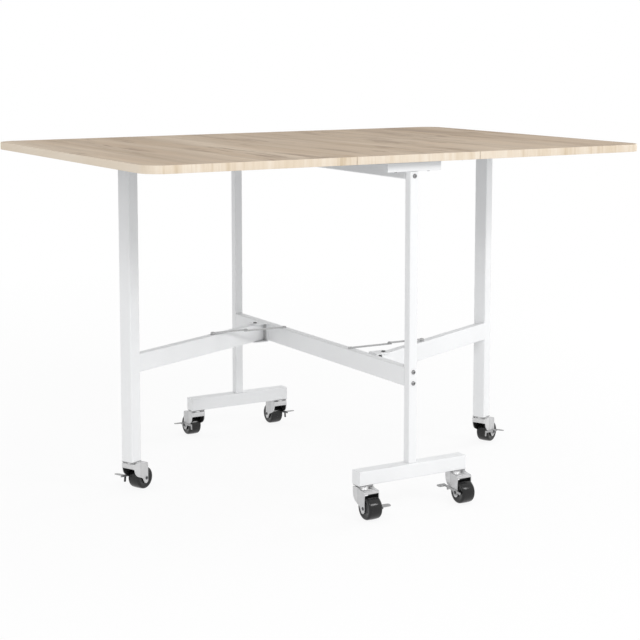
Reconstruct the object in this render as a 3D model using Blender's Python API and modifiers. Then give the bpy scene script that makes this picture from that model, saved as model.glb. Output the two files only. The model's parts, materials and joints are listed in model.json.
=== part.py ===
"""Folding dining table on casters: a drop-leaf top, a T-ended steel frame and two gate legs.

Metres, +Z up. The origin is on the floor under the middle of the top. +X runs along the length of
the open top, +Y along the middle frame, away from the near end.
"""

import math

import bmesh
import bpy
from mathutils import Matrix, Vector

for item in list(bpy.data.objects):
    bpy.data.objects.remove(item, do_unlink=True)

# Top: a fixed middle panel and two leaves
top_length = 1.205
top_width = 0.824
top_height = 0.740
board_thickness = 0.016
top_corner_radius = 0.045
board_edge_round = 0.0008
middle_panel_width = 0.300
seam_gap = 0.001

# Clearances
seat_gap = 0.0003
pin_gap = 0.0003
glide_gap = 0.0005
swing_gap = 0.002

# Leaf hinges under the top
hinge_length = 0.060
hinge_plate_width = 0.024
hinge_sheet = 0.0015
hinge_knuckle_radius = 0.003
hinge_pin_radius = 0.0015
hinge_from_end = 0.092
hinge_knuckles = 3

# Square and flat tubes
tube_wall = 0.0015
tube_corner_radius = 0.002

# T-shaped end frames
end_inset = 0.019
post_size = 0.020
foot_size = 0.030
foot_length = 0.265
bar_size = 0.020
bar_length = 0.130
bar_screw_place = 0.040
bar_screw_hole_radius = 0.0023

# Beams between the end frames
beam_width = 0.020
upper_beam_height = 0.037
stretcher_height = 0.040
stretcher_bottom = 0.257

# Frame bolts
bolt_radius = 0.003
bolt_head_radius = 0.0048
bolt_head_height = 0.003
bolt_crown_radius = 0.0024
bolt_shoulder_radius = 0.0041
bolt_shoulder_height = 0.0018
bolt_grip = 0.018
bolt_socket_radius = 0.0022
bolt_socket_depth = 0.0018
top_bolt_drop = 0.0095
stretcher_bolt_spread = 0.0235

# Gate legs
gate_open_angle = math.radians(65.1)
gate_pivot_place = 0.2232
gate_reach = 0.440
gate_post_size = 0.030
rail_thickness = 0.020
rail_height = 0.040
rail_past_pin = 0.020
bracket_sheet = 0.002
bracket_width = 0.034
bracket_past_pin = 0.012
bracket_ear_round = 0.0095
pivot_pin_radius = 0.003
pivot_head_radius = 0.0048
pivot_head_height = 0.0018
pivot_crown_radius = 0.0034

# Folding stays
stay_on_rail = 0.163
stay_on_stretcher = 0.147
stay_elbow_share = 0.545
stay_width = 0.010
stay_sheet = 0.002
stay_rivet_radius = 0.002
stay_rivet_head_radius = 0.004
stay_rivet_head_height = 0.0012
stay_rivet_depth = 0.005

# Casters
wheel_radius = 0.0245
wheel_width = 0.028
wheel_crown = 0.0025
wheel_edge_round = 0.003
wheel_rim_width = 0.005
wheel_hub_radius = 0.008
wheel_recess = 0.002
wheel_side_gap = 0.0012
wheel_top_gap = 0.0065
axle_radius = 0.003
axle_head_radius = 0.0048
axle_head_height = 0.0014
axle_trail = 0.028
fork_sheet = 0.0018
fork_lead = 0.0135
fork_past_axle = 0.007
fork_boss_radius = 0.0083
fork_boss_drop = 0.001
fork_boss_turn = math.radians(150)
fork_step_back = 0.0145
fork_step_rise = 0.003
fork_shelf_slope = math.radians(21)
fork_front_round = 0.018
fork_corner_radius = 0.004
fork_collar_rise = 0.0065
fork_collar_length = 0.0245
fork_apron_depth = 0.0125
fork_apron_margin = 0.003
fork_apron_arch = 0.005
swivel_gap = 0.0007
mount_plate_across = 0.034
mount_plate_along = 0.030
mount_plate_thickness = 0.002
mount_dome_radius = 0.011
mount_neck_radius = 0.0085
mount_rivet_radius = 0.006
mount_rivet_tip_radius = 0.0048
mount_rivet_height = 0.002
stem_radius = 0.004
stem_tip_radius = 0.0032
stem_tip_height = 0.002
stem_length = 0.018
foot_caster_inset = 0.017

# Brake levers on the casters
lever_sheet = 0.0016
lever_gap = 0.0004
lever_bar_height = 0.005
lever_eye_radius = 0.0068
lever_rise = 0.0025
lever_tilt = math.radians(6.5)
lever_lead = 0.014
lever_past_fork = 0.0105
lever_finger_width = 0.0045
lever_short_finger_drop = 0.008
lever_long_finger_drop = 0.011
lever_tab_width = 0.012
lever_tab_length = 0.020
lever_tab_round = 0.0045

# Facets of round shapes
rod_sides = 12
small_turn_steps = 12
wheel_steps = 20
tread_steps = 4
top_corner_steps = 8
tube_corner_steps = 2
plate_corner_steps = 3
boss_steps = 6
front_round_steps = 6
socket_sides = 6

# Limits used when edges are chosen, smoothed and welded
straight_share = 0.999
arris_angle = math.radians(40)
smooth_angle = math.radians(35)
weld_distance = 0.00001

# Heights and places that follow from the sizes
under_board = top_height - board_thickness
hinge_line = middle_panel_width / 2
hinge_place = top_width / 2 - hinge_from_end
end_outer_face = top_width / 2 - end_inset
hinge_axis_height = under_board - seat_gap - hinge_knuckle_radius
axle_height = wheel_radius
fork_plate_bottom = 2 * wheel_radius + wheel_top_gap
fork_plate_top = fork_plate_bottom + fork_sheet
fork_collar_top = fork_plate_top + fork_collar_rise
mount_plate_bottom = fork_collar_top + swivel_gap
mount_plate_top = mount_plate_bottom + mount_plate_thickness
tube_bottom = mount_plate_top + seat_gap
foot_top = tube_bottom + foot_size
bar_top = under_board - seat_gap
bar_bottom = bar_top - bar_size
post_bottom = foot_top + seat_gap
post_top = bar_bottom - seat_gap
post_middle = end_outer_face - post_size / 2
beam_end = end_outer_face - max(post_size, post_size / 2 + bar_size / 2) - seat_gap
stretcher_top = stretcher_bottom + stretcher_height
stretcher_middle = stretcher_bottom + stretcher_height / 2
rail_bottom = stretcher_middle - rail_height / 2
rail_top = rail_bottom + rail_height
bracket_face = beam_width / 2 + seat_gap
pivot_out = bracket_face + bracket_sheet + swing_gap + math.hypot(rail_past_pin, rail_thickness / 2)
gate_post_middle = gate_reach + gate_post_size / 2
gate_post_shift = (gate_post_size - rail_thickness) / 2
gate_heading = math.pi / 2 - gate_open_angle
fork_inner = wheel_width / 2 + wheel_side_gap
fork_outer = fork_inner + fork_sheet
fork_tail = axle_trail + fork_past_axle
fork_boss_middle = fork_tail - fork_boss_radius
fork_boss_height = axle_height - fork_boss_drop

parts = bpy.data.collections.new("folding_dining_table")
cutters = bpy.data.collections.new("cutters")
bpy.context.scene.collection.children.link(parts)
bpy.context.scene.collection.children.link(cutters)


def material(name, colour, roughness, metallic):
    """Principled material with one colour, roughness and metallic value."""
    made = bpy.data.materials.new(name)
    made.use_nodes = True
    shader = made.node_tree.nodes["Principled BSDF"]
    shader.inputs["Base Color"].default_value = (*colour, 1.0)
    shader.inputs["Roughness"].default_value = roughness
    shader.inputs["Metallic"].default_value = metallic
    return made


oak_laminate = material("oak_laminate", (0.47, 0.36, 0.26), 0.45, 0.0)
white_paint = material("white_powder_coat", (0.86, 0.86, 0.86), 0.4, 0.0)
dark_steel = material("dark_bolt_steel", (0.10, 0.10, 0.11), 0.4, 0.8)
stay_steel = material("stay_steel", (0.32, 0.32, 0.33), 0.4, 0.9)
zinc_steel = material("zinc_steel", (0.62, 0.62, 0.63), 0.35, 0.9)
bright_steel = material("bright_steel", (0.80, 0.80, 0.80), 0.2, 1.0)
black_tread = material("black_tread", (0.02, 0.02, 0.02), 0.5, 0.0)


def mesh_object(name, shape, collection=parts):
    """Object made from a bmesh, linked to its collection."""
    mesh = bpy.data.meshes.new(name)
    shape.to_mesh(mesh)
    shape.free()
    made = bpy.data.objects.new(name, mesh)
    collection.objects.link(made)
    return made


def place(made, surface, parent=None, location=(0, 0, 0), rotation=(0, 0, 0)):
    """Give an object its material, parent, location and rotation."""
    made.data.materials.clear()
    made.data.materials.append(surface)
    made.parent = parent
    made.location = location
    made.rotation_euler = rotation
    return made


def empty(name, location=(0, 0, 0), turn=0.0):
    """Empty that carries a group of pieces, turned about the vertical."""
    made = bpy.data.objects.new(name, None)
    made.location = location
    made.rotation_euler = (0, 0, turn)
    parts.objects.link(made)
    return made


def block(name, low, high, collection=parts):
    """Box between two opposite corners."""
    low = Vector(low)
    size = Vector(high) - low
    shape = bmesh.new()
    where = Matrix.Translation(low + size / 2) @ Matrix.Diagonal((*size, 1.0))
    bmesh.ops.create_cube(shape, size=1.0, matrix=where)
    return mesh_object(name, shape, collection)


def round_edges(made, radius, steps, along, keep=None):
    """Round the straight edges that run along one axis, or those of them that keep accepts."""
    shape = bmesh.new()
    shape.from_mesh(made.data)
    chosen = []
    for edge in shape.edges:
        direction = edge.verts[1].co - edge.verts[0].co
        middle = (edge.verts[0].co + edge.verts[1].co) / 2
        runs_along = abs(direction[along]) > straight_share * direction.length
        if runs_along and (keep is None or keep(middle)):
            chosen.append(edge)
    bmesh.ops.bevel(shape, geom=chosen, offset=radius, segments=steps, profile=0.5, affect="EDGES")
    shape.to_mesh(made.data)
    shape.free()
    return made


def rod(name, start, end, radius, sides=rod_sides, collection=parts):
    """Solid cylinder between two points."""
    start = Vector(start)
    span = Vector(end) - start
    turn = Vector((0, 0, 1)).rotation_difference(span).to_matrix().to_4x4()
    shape = bmesh.new()
    bmesh.ops.create_cone(
        shape,
        cap_ends=True,
        segments=sides,
        radius1=radius,
        radius2=radius,
        depth=span.length,
        matrix=Matrix.Translation(start + span / 2) @ turn,
    )
    return mesh_object(name, shape, collection)


def turned(name, profile, steps=small_turn_steps):
    """Closed profile of (radius, height) points, down its outer side, turned about Z."""
    shape = bmesh.new()
    points = [shape.verts.new((radius, 0, height)) for radius, height in profile]
    for first, second in zip(points, points[1:] + points[:1]):
        shape.edges.new((first, second))
    made = mesh_object(name, shape)
    spin = made.modifiers.new("Turn", "SCREW")
    spin.axis = "Z"
    spin.steps = steps
    spin.render_steps = steps
    spin.use_merge_vertices = True
    spin.merge_threshold = weld_distance
    return made


def flat_outline(name, outline, low, high):
    """Outline of (x, z) points, filled and drawn out from y = low to y = high."""
    curve = bpy.data.curves.new(name, "CURVE")
    curve.dimensions = "2D"
    curve.fill_mode = "BOTH"
    curve.extrude = (high - low) / 2
    spline = curve.splines.new("POLY")
    spline.points.add(len(outline) - 1)
    for point, (x, z) in zip(spline.points, outline):
        point.co = (x, z, 0, 1)
    spline.use_cyclic_u = True
    drawn = bpy.data.objects.new(name, curve)
    parts.objects.link(drawn)
    drawn.rotation_euler = (math.pi / 2, 0, 0)
    drawn.location = (0, (low + high) / 2, 0)
    mesh = evaluated_mesh(drawn)
    mesh.transform(drawn.matrix_world)
    bpy.data.objects.remove(drawn, do_unlink=True)
    shape = bmesh.new()
    shape.from_mesh(mesh)
    bmesh.ops.remove_doubles(shape, verts=shape.verts, dist=weld_distance)
    bmesh.ops.recalc_face_normals(shape, faces=shape.faces)
    return mesh_object(name, shape)


def evaluated_mesh(made):
    """Mesh of an object with its modifiers worked in."""
    bpy.context.view_layer.update()
    graph = bpy.context.evaluated_depsgraph_get()
    return bpy.data.meshes.new_from_object(made.evaluated_get(graph))


def combine(target, tool, operation):
    """Exact Boolean of a tool, drawn in the target's own frame, which then rides on the target."""
    step = target.modifiers.new(operation.title(), "BOOLEAN")
    step.operation = operation
    step.solver = "EXACT"
    step.object = tool
    tool.parent = target
    tool.hide_render = True
    tool.display_type = "WIRE"
    for owner in list(tool.users_collection):
        owner.objects.unlink(tool)
    cutters.objects.link(tool)
    return target


def cut(target, tool):
    return combine(target, tool, "DIFFERENCE")


def join(target, tool):
    return combine(target, tool, "UNION")


def finished_mesh(made):
    """Finished mesh of a repeated piece, whose pattern object and tools are then removed."""
    mesh = evaluated_mesh(made)
    mesh.name = made.name
    for tool in list(made.children):
        bpy.data.objects.remove(tool, do_unlink=True)
    bpy.data.objects.remove(made, do_unlink=True)
    mesh.shade_smooth()
    mesh.set_sharp_from_angle(angle=smooth_angle)
    return mesh


def copy_of(name, mesh):
    """Named object on a shared mesh."""
    made = bpy.data.objects.new(name, mesh)
    parts.objects.link(made)
    return made


def tube(name, low, high, along, closed_ends=False):
    """Thin-walled tube with rounded corners along one axis, open or closed at its ends."""
    made = block(name, low, high)
    round_edges(made, tube_corner_radius, tube_corner_steps, along)
    inner_low = [value + tube_wall for value in low]
    inner_high = [value - tube_wall for value in high]
    if not closed_ends:
        inner_low[along] = low[along] - tube_wall
        inner_high[along] = high[along] + tube_wall
    return cut(made, block(name + "_hollow", inner_low, inner_high))


def middle_panel():
    """Fixed board between the two seams."""
    half = hinge_line - seam_gap / 2
    low = (-half, -top_width / 2, under_board)
    made = block("middle_panel", low, (half, top_width / 2, top_height))
    soften_board(made)
    return place(made, oak_laminate)


def soften_board(made):
    """Small round along a board's edges."""
    arris = made.modifiers.new("Arris", "BEVEL")
    arris.width = board_edge_round
    arris.segments = 1
    arris.limit_method = "ANGLE"
    arris.angle_limit = arris_angle


def leaf(label, side):
    """Drop leaf with two rounded corners; its origin is on the hinge axis."""
    lift = under_board - hinge_axis_height
    outer = top_length / 2 - hinge_line
    low = (seam_gap / 2, -top_width / 2, lift)
    made = block(f"leaf_{label}", low, (outer, top_width / 2, lift + board_thickness))
    round_edges(made, top_corner_radius, top_corner_steps, 2, lambda middle: middle.x > outer / 2)
    soften_board(made)
    return place(made, oak_laminate, side, (hinge_line, 0, hinge_axis_height))


def hinge_knuckle_span(index):
    """Ends of one knuckle along the hinge, with running gaps between knuckles."""
    pitch = hinge_length / hinge_knuckles
    start = -hinge_length / 2 + index * pitch
    return start + pin_gap, start + pitch - pin_gap


def hinge_plate(name, toward, knuckle_numbers):
    """Hinge plate on one side of the axis with its knuckles, axis along Y through the origin."""
    top = hinge_knuckle_radius
    bottom = top - hinge_sheet
    near = toward * (hinge_knuckle_radius + pin_gap)
    far = toward * hinge_plate_width
    low = (min(near, far), -hinge_length / 2, bottom)
    made = block(name, low, (max(near, far), hinge_length / 2, top))
    for number in knuckle_numbers:
        start, end = hinge_knuckle_span(number)
        knuckle = rod(f"{name}_knuckle_{number}", (0, start, 0), (0, end, 0), hinge_knuckle_radius)
        reach = toward * 2 * hinge_knuckle_radius
        tongue_low = (min(0, reach), start, bottom)
        tongue = block(f"{name}_tongue_{number}", tongue_low, (max(0, reach), end, top))
        join(made, tongue)
        join(made, knuckle)
    return made


def hinge_meshes():
    """Fixed plate with the hinge pin, and moving plate with the pin's hole."""
    middle = hinge_knuckles // 2
    outer = [number for number in range(hinge_knuckles) if number != middle]
    ends = ((0, -hinge_length / 2, 0), (0, hinge_length / 2, 0))
    fixed = hinge_plate("hinge_fixed", -1, [middle])
    join(fixed, rod("hinge_pin", *ends, hinge_pin_radius))
    moving = hinge_plate("hinge_moving", 1, outer)
    past = ((0, -hinge_length, 0), (0, hinge_length, 0))
    cut(moving, rod("hinge_pin_hole", *past, hinge_pin_radius + pin_gap))
    return finished_mesh(fixed), finished_mesh(moving)


def leaf_hinges(label, side, meshes):
    """Two butt hinges on the underside along one seam."""
    fixed, moving = meshes
    for along in (-hinge_place, hinge_place):
        seat = (hinge_line, along, hinge_axis_height)
        end = "near" if (along < 0) == (label == "right") else "far"
        place(copy_of(f"hinge_{label}_{end}_fixed", fixed), stay_steel, side, seat)
        place(copy_of(f"hinge_{label}_{end}_moving", moving), stay_steel, side, seat)


def frame_bolt_mesh():
    """Button-head socket bolt along +Y, with its head outside y = 0."""
    profile = [
        (0, bolt_head_height),
        (bolt_crown_radius, bolt_head_height),
        (bolt_shoulder_radius, bolt_shoulder_height),
        (bolt_head_radius, 0),
        (bolt_radius, 0),
        (bolt_radius, -post_size - bolt_grip),
        (0, -post_size - bolt_grip),
    ]
    made = turned("frame_bolt", profile)
    bottom = (0, 0, bolt_head_height - bolt_socket_depth)
    socket = rod("bolt_socket", bottom, (0, 0, 2 * bolt_head_height), bolt_socket_radius, socket_sides)
    cut(made, socket)
    return finished_mesh(made)


def end_frame(label, turn, bolt):
    """T-shaped end frame: foot, post and top bar, with the bolts that hold the beams."""
    end = empty(f"end_{label}", turn=turn)
    outer = -post_middle - post_size / 2
    inner = -post_middle + post_size / 2
    bolt_heights = [bar_bottom - top_bolt_drop]
    for side in (-1, 1):
        bolt_heights.append(stretcher_middle + side * stretcher_bolt_spread / 2)

    post_low = (-post_size / 2, outer, post_bottom)
    post = tube(f"post_{label}", post_low, (post_size / 2, inner, post_top), 2)
    place(post, white_paint, end)
    for number, height in enumerate(bolt_heights):
        ends = ((0, outer - post_size, height), (0, inner + post_size, height))
        cut(post, rod(f"bolt_hole_{label}_{number}", *ends, bolt_radius + pin_gap))
        seat = (0, outer - seat_gap, height)
        made = copy_of(f"bolt_{label}_{number + 1}", bolt)
        place(made, dark_steel, end, seat, (math.pi / 2, 0, 0))

    half = foot_size / 2
    foot_low = (-foot_length / 2, -post_middle - half, tube_bottom)
    foot_high = (foot_length / 2, -post_middle + half, foot_top)
    foot = tube(f"foot_{label}", foot_low, foot_high, 0, closed_ends=True)
    place(foot, white_paint, end)
    for side in (-1, 1):
        stem_at = side * (foot_length / 2 - foot_caster_inset)
        cut(foot, stem_hole(f"foot_stem_hole_{label}_{side + 1}", stem_at, -post_middle))

    half = bar_size / 2
    bar_low = (-bar_length / 2, -post_middle - half, bar_bottom)
    bar_high = (bar_length / 2, -post_middle + half, bar_top)
    bar = tube(f"top_bar_{label}", bar_low, bar_high, 0, closed_ends=True)
    place(bar, white_paint, end)
    for side in (-1, 1):
        at = (side * bar_screw_place, -post_middle)
        start = (*at, bar_bottom - bar_size)
        hole = rod(f"bar_hole_{label}_{side + 1}", start, (*at, bar_top + bar_size), bar_screw_hole_radius)
        cut(bar, hole)
    return end


def stem_hole(name, x, y):
    """Hole for a caster stem through the bottom wall of a tube."""
    start = (x, y, tube_bottom - tube_wall)
    return rod(name, start, (x, y, tube_bottom + 2 * tube_wall), stem_radius + pin_gap)


def beams():
    """Upper beam under the top and stretcher below it, both along Y between the posts."""
    half = beam_width / 2
    beam_low = (-half, -beam_end, bar_top - upper_beam_height)
    upper = tube("upper_beam", beam_low, (half, beam_end, bar_top), 1)
    place(upper, white_paint)
    stretcher_low = (-half, -beam_end, stretcher_bottom)
    stretcher = tube("stretcher", stretcher_low, (half, beam_end, stretcher_top), 1)
    place(stretcher, white_paint)
    for number, along in enumerate((-stay_on_stretcher, stay_on_stretcher)):
        cut(stretcher, rivet_hole(f"stretcher_rivet_hole_{number}", 0, along, stretcher_top))


def rivet_hole(name, x, y, surface):
    """Hole for a stay's rivet through the top wall of a tube."""
    start = (x, y, surface - 2 * tube_wall)
    return rod(name, start, (x, y, surface + tube_wall), stay_rivet_radius + pin_gap)


def gate_bracket(label, side):
    """Channel bracket on the stretcher with two ears that carry the gate's pin."""
    reach = pivot_out + bracket_past_pin
    low_edge = -gate_pivot_place - bracket_width / 2
    high_edge = -gate_pivot_place + bracket_width / 2
    mouth_bottom = rail_bottom - seat_gap
    mouth_top = rail_top + seat_gap
    low = (bracket_face, low_edge, mouth_bottom - bracket_sheet)
    made = block(f"bracket_{label}", low, (reach, high_edge, mouth_top + bracket_sheet))
    round_edges(made, bracket_ear_round, plate_corner_steps, 2, lambda middle: middle.x > pivot_out)
    mouth_low = (bracket_face + bracket_sheet, low_edge - bracket_width, mouth_bottom)
    mouth = block(f"bracket_mouth_{label}", mouth_low, (2 * reach, high_edge + bracket_width, mouth_top))
    cut(made, mouth)
    at = (pivot_out, -gate_pivot_place)
    hole_ends = ((*at, mouth_bottom - rail_height), (*at, mouth_top + rail_height))
    cut(made, rod(f"bracket_pin_hole_{label}", *hole_ends, pivot_pin_radius + pin_gap))
    return place(made, white_paint, side)


def pivot_pin_mesh():
    """Headed pin through both bracket ears, about Z with its middle at the origin."""
    half = rail_height / 2 + seat_gap + bracket_sheet + seat_gap
    cap = half + pivot_head_height
    profile = [
        (0, cap),
        (pivot_crown_radius, cap),
        (pivot_head_radius, cap - pivot_head_height / 2),
        (pivot_head_radius, half),
        (pivot_pin_radius, half),
        (pivot_pin_radius, -half),
        (pivot_head_radius, -half),
        (pivot_head_radius, -cap + pivot_head_height / 2),
        (pivot_crown_radius, -cap),
        (0, -cap),
    ]
    return finished_mesh(turned("pivot_pin", profile))


def gate_leg(label, pivot):
    """Gate leg: post and rail welded as one tube frame, rail along +X from the pivot axis."""
    half = gate_post_size / 2
    post_low = (gate_reach, gate_post_shift - half, tube_bottom)
    post_high = (gate_reach + gate_post_size, gate_post_shift + half, under_board - glide_gap)
    rail_low = (-rail_past_pin, -rail_thickness / 2, rail_bottom)
    rail_high = (gate_reach + tube_wall, rail_thickness / 2, rail_top)
    made = block(f"gate_{label}", post_low, post_high)
    round_edges(made, tube_corner_radius, tube_corner_steps, 2)
    rail = block(f"gate_rail_{label}", rail_low, rail_high)
    round_edges(rail, tube_corner_radius, tube_corner_steps, 0)
    join(made, rail)

    post_hollow_low = [value + tube_wall for value in post_low]
    post_hollow_high = [value - tube_wall for value in post_high]
    cut(made, block(f"gate_post_hollow_{label}", post_hollow_low, post_hollow_high))
    rail_hollow_low = (-rail_past_pin - tube_wall, -rail_thickness / 2 + tube_wall, rail_bottom + tube_wall)
    rail_hollow_high = (gate_reach - tube_wall, rail_thickness / 2 - tube_wall, rail_top - tube_wall)
    cut(made, block(f"gate_rail_hollow_{label}", rail_hollow_low, rail_hollow_high))

    cut(made, stem_hole(f"gate_stem_hole_{label}", gate_post_middle, gate_post_shift))
    pin_ends = ((0, 0, rail_bottom - rail_height), (0, 0, rail_top + rail_height))
    cut(made, rod(f"gate_pin_hole_{label}", *pin_ends, pivot_pin_radius + pin_gap))
    cut(made, rivet_hole(f"gate_rivet_hole_{label}", stay_on_rail, 0, rail_top))
    return place(made, white_paint, pivot)


def stay_bar(name, length, bottom):
    """Flat bar with round ends, along +X from its rivet at the origin."""
    radius = stay_width / 2
    top = bottom + stay_sheet
    made = block(name, (0, -radius, bottom), (length, radius, top))
    join(made, rod(name + "_start", (0, 0, bottom), (0, 0, top), radius))
    join(made, rod(name + "_end", (length, 0, bottom), (length, 0, top), radius))
    return made


def stay(label, side, pivot):
    """Two-link folding stay between the stretcher and the gate's rail, straight when open."""
    rail_point = Vector((pivot_out, -gate_pivot_place, 0))
    rail_point += stay_on_rail * Vector((math.cos(gate_heading), math.sin(gate_heading), 0))
    stretcher_point = Vector((0, -stay_on_stretcher, 0))
    span = rail_point - stretcher_point
    heading = math.atan2(span.y, span.x)
    inner_length = span.length * stay_elbow_share
    outer_length = span.length - inner_length
    low_level = max(stretcher_top, rail_top) + seat_gap
    high_level = low_level + stay_sheet + seat_gap

    inner = stay_bar(f"stay_{label}_inner", inner_length, low_level)
    join(inner, stay_rivet(f"stay_inner_rivet_{label}", stretcher_top, low_level + stay_sheet))
    place(inner, stay_steel, side, stretcher_point, (0, 0, heading))

    outer = stay_bar(f"stay_{label}_outer", outer_length, high_level)
    join(outer, stay_rivet(f"stay_outer_rivet_{label}", rail_top, high_level + stay_sheet))
    boss_bottom = (0, 0, rail_top + seat_gap)
    boss = rod(f"stay_boss_{label}", boss_bottom, (0, 0, high_level + stay_sheet / 2), stay_width / 2)
    join(outer, boss)
    elbow_top = (outer_length, 0, high_level + stay_sheet + stay_rivet_head_height)
    elbow_bottom = (outer_length, 0, high_level + stay_sheet / 2)
    join(outer, rod(f"stay_elbow_{label}", elbow_bottom, elbow_top, stay_rivet_head_radius))
    place(outer, stay_steel, pivot, (stay_on_rail, 0, 0), (0, 0, heading + math.pi - gate_heading))


def stay_rivet(name, surface, top):
    """Rivet that hangs through a tube's top wall, with its head on the stay."""
    profile = [
        (0, top + stay_rivet_head_height),
        (stay_rivet_head_radius, top + stay_rivet_head_height),
        (stay_rivet_head_radius, top - stay_sheet / 2),
        (stay_rivet_radius, top - stay_sheet / 2),
        (stay_rivet_radius, surface - stay_rivet_depth),
        (0, surface - stay_rivet_depth),
    ]
    return turned(name, profile)


def caster_mount_mesh():
    """Stem, plate, swivel dome and kingpin of a caster, turned about the swivel axis."""
    rivet_top = fork_plate_bottom - seat_gap
    dome_bottom = fork_plate_top + seat_gap
    profile = [
        (0, tube_bottom + stem_length),
        (stem_tip_radius, tube_bottom + stem_length),
        (stem_radius, tube_bottom + stem_length - stem_tip_height),
        (stem_radius, mount_plate_top - mount_plate_thickness / 2),
        (mount_dome_radius, mount_plate_top - mount_plate_thickness / 2),
        (mount_dome_radius, mount_plate_bottom - swivel_gap),
        (mount_neck_radius, dome_bottom),
        (stem_radius, dome_bottom),
        (stem_radius, rivet_top),
        (mount_rivet_radius, rivet_top),
        (mount_rivet_tip_radius, rivet_top - mount_rivet_height),
        (0, rivet_top - mount_rivet_height),
    ]
    made = turned("caster_mount", profile)
    across = mount_plate_across / 2
    along = mount_plate_along / 2
    plate = block("mount_plate", (-across, -along, mount_plate_bottom), (across, along, mount_plate_top))
    round_edges(plate, fork_corner_radius, plate_corner_steps, 2)
    join(made, plate)
    return finished_mesh(made)


def fork_outline():
    """Side outline of the fork: collar, sloping top edge, round axle boss, stepped lower edge."""
    outline = [
        (-fork_lead, fork_collar_top),
        (fork_collar_length - fork_lead, fork_collar_top),
        (fork_tail, fork_plate_top),
    ]
    for step in range(boss_steps + 1):
        angle = -fork_boss_turn * step / boss_steps
        x = fork_boss_middle + fork_boss_radius * math.cos(angle)
        z = fork_boss_height + fork_boss_radius * math.sin(angle)
        outline.append((x, z))
    step_x = axle_trail - fork_step_back
    step_z = axle_height + fork_step_rise
    outline.append((step_x, step_z))
    shelf_end = 3 * math.pi / 2 - fork_shelf_slope
    middle_x = -fork_lead + fork_front_round
    touch_x = middle_x + fork_front_round * math.cos(shelf_end)
    touch_z = step_z + (step_x - touch_x) * math.tan(fork_shelf_slope)
    middle_z = touch_z - fork_front_round * math.sin(shelf_end)
    for step in range(front_round_steps + 1):
        angle = shelf_end + (math.pi - shelf_end) * step / front_round_steps
        x = middle_x + fork_front_round * math.cos(angle)
        z = middle_z + fork_front_round * math.sin(angle)
        outline.append((x, z))
    return outline


def fork_mesh(brake_side):
    """Pressed caster fork with its axle, wheel trailing along +X, brake on the +Y or -Y side."""
    made = flat_outline("caster_fork", fork_outline(), -fork_outer, fork_outer)
    plan_low = (-fork_lead, -fork_outer, 0)
    plan = block("fork_plan", plan_low, (2 * fork_tail, fork_outer, 2 * fork_collar_top))
    round_edges(plan, fork_corner_radius, plate_corner_steps, 2, lambda middle: middle.x < 0)
    combine(made, plan, "INTERSECT")

    back = -fork_lead + fork_sheet
    wheel_room_low = (back, -fork_inner, -wheel_radius)
    cut(made, block("fork_wheel_room", wheel_room_low, (2 * fork_tail, fork_inner, fork_plate_bottom)))
    dome_room_low = (back, -fork_inner, fork_plate_top)
    cut(made, block("fork_dome_room", dome_room_low, (2 * fork_tail, fork_inner, 2 * fork_collar_top)))
    arch_half = fork_outer - fork_apron_margin
    arch_top = fork_collar_top - fork_apron_depth
    arch = block("fork_arch", (-2 * fork_lead, -arch_half, 0), (0, arch_half, arch_top))
    round_edges(arch, fork_apron_arch, plate_corner_steps, 0, lambda middle: middle.z > arch_top / 2)
    cut(made, arch)
    king_ends = ((0, 0, fork_plate_bottom - fork_sheet), (0, 0, fork_plate_top + fork_sheet))
    cut(made, rod("fork_king_hole", *king_ends, stem_radius + pin_gap))

    head_brake = fork_outer + lever_gap + lever_sheet + pin_gap
    head_plain = fork_outer - fork_sheet / 2
    ends = {brake_side: head_brake, -brake_side: head_plain}
    start = (axle_trail, -ends[-1] - axle_head_height / 2, axle_height)
    end = (axle_trail, ends[1] + axle_head_height / 2, axle_height)
    join(made, rod("fork_axle", start, end, axle_radius))
    for side in (-1, 1):
        outer = max(ends[side], fork_outer) + axle_head_height
        head = rod(
            f"fork_axle_head_{side + 1}",
            (axle_trail, side * ends[side], axle_height),
            (axle_trail, side * outer, axle_height),
            axle_head_radius,
        )
        join(made, head)
    return finished_mesh(made)


def wheel_profile():
    """Half section of the wheel: bore, hub, recessed web and crowned tread."""
    half = wheel_width / 2
    shoulder = half - wheel_edge_round
    rim_inner = wheel_radius - wheel_crown - wheel_rim_width
    upper = [
        (axle_radius + pin_gap, half),
        (wheel_hub_radius, half),
        (wheel_hub_radius, half - wheel_recess),
        (rim_inner, half - wheel_recess),
        (rim_inner, half),
        (wheel_radius - wheel_crown - wheel_edge_round, half),
    ]
    tread = []
    for step in range(tread_steps + 1):
        height = shoulder * (1 - 2 * step / tread_steps)
        tread.append((wheel_radius - wheel_crown * (height / half) ** 2, height))
    lower = [(radius, -height) for radius, height in reversed(upper)]
    return upper + tread + lower


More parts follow.
